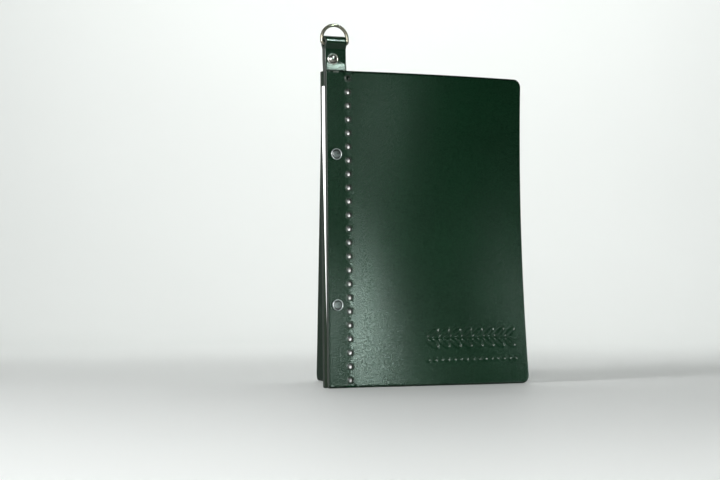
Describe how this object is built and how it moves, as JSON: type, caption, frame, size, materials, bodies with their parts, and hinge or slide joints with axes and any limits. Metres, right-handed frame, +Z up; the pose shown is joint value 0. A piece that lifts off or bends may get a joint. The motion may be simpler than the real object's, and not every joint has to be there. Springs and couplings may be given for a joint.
{
  "type": "screw-post menu holder",
  "caption": "Leather menu holder bound by screw posts along a perforated fold line, with loose sheets and a riveted hanging strap and ring.",
  "frame": {"origin": "at the lower edge of the front spine strip, under the posts, in the middle of the leather's thickness; the holder stands on Z = 0", "axes": "+X from the bound edge to the free edge of the front cover, +Y from the front cover to the back, +Z up along the bound edge"},
  "size_m": [0.1601, 0.1472, 0.2591],
  "materials": {
    "cover_leather": "smooth fine-pebbled, satin",
    "strap_leather": "smooth, satin",
    "menu_paper": "uncoated card",
    "post_metal": "brushed nickel",
    "rivet_metal": "polished nickel",
    "ring_metal": "aged nickel"
  },
  "bodies": {
    "binding": {"front_spine_strip": "cover_leather", "back_spine_strip": "cover_leather", "sheet_margins": "menu_paper", "upper_post": "post_metal", "lower_post": "post_metal", "hang_strap": "strap_leather", "rivet_cap": "rivet_metal", "rivet_base": "rivet_metal"},
    "front_cover": {"front_panel": "cover_leather"},
    "back_cover": {"back_panel": "cover_leather"},
    "leaf_1": {"sheet_1": "menu_paper"},
    "leaf_2": {"sheet_2": "menu_paper"},
    "leaf_3": {"sheet_3": "menu_paper"},
    "leaf_4": {"sheet_4": "menu_paper"},
    "upper_binding_screw": {"upper_screw": "post_metal"},
    "lower_binding_screw": {"lower_screw": "post_metal"},
    "ring": {"d_ring": "ring_metal"}
  },
  "joints": [
    {"name": "front_cover_hinge", "type": "hinge", "parent": "binding", "child": "front_cover", "pos_m": [0.00975, -0.0015, 0.1125], "axis": [0, 0, 1], "range_deg": [-160, 0]},
    {"name": "back_cover_hinge", "type": "hinge", "parent": "binding", "child": "back_cover", "pos_m": [0.0098, 0.0097, 0.1125], "axis": [0, 0, 1], "range_deg": [-73, 87]},
    {"name": "sheet_1_turn", "type": "hinge", "parent": "binding", "child": "leaf_1", "pos_m": [0.0128, 0.00417, 0.109], "axis": [0, 0, 1], "range_deg": [-96, 0]},
    {"name": "sheet_2_turn", "type": "hinge", "parent": "binding", "child": "leaf_2", "pos_m": [0.0134, 0.00483, 0.109], "axis": [0, 0, 1], "range_deg": [-72, 0]},
    {"name": "sheet_3_turn", "type": "hinge", "parent": "binding", "child": "leaf_3", "pos_m": [0.014, 0.00547, 0.109], "axis": [0, 0, 1], "range_deg": [-48, 0]},
    {"name": "sheet_4_turn", "type": "hinge", "parent": "binding", "child": "leaf_4", "pos_m": [0.0146, 0.00613, 0.109], "axis": [0, 0, 1], "range_deg": [-24, 0]},
    {"name": "upper_screw_turn", "type": "hinge", "parent": "binding", "child": "upper_binding_screw", "pos_m": [0, 0.0097, 0.1653], "axis": [0, 1, 0], "continuous": true},
    {"name": "lower_screw_turn", "type": "hinge", "parent": "binding", "child": "lower_binding_screw", "pos_m": [0, 0.0097, 0.0585], "axis": [0, 1, 0], "continuous": true},
    {"name": "ring_swing", "type": "hinge", "parent": "binding", "child": "ring", "pos_m": [0.0018, 0.0041, 0.2444], "axis": [1, 0, 0], "range_deg": [-140, 140]}
  ],
  "couplings": [
    {"joint": "sheet_1_turn", "follows": "front_cover_hinge", "ratio": 0.6},
    {"joint": "sheet_2_turn", "follows": "front_cover_hinge", "ratio": 0.45},
    {"joint": "sheet_3_turn", "follows": "front_cover_hinge", "ratio": 0.3},
    {"joint": "sheet_4_turn", "follows": "front_cover_hinge", "ratio": 0.15}
  ]
}
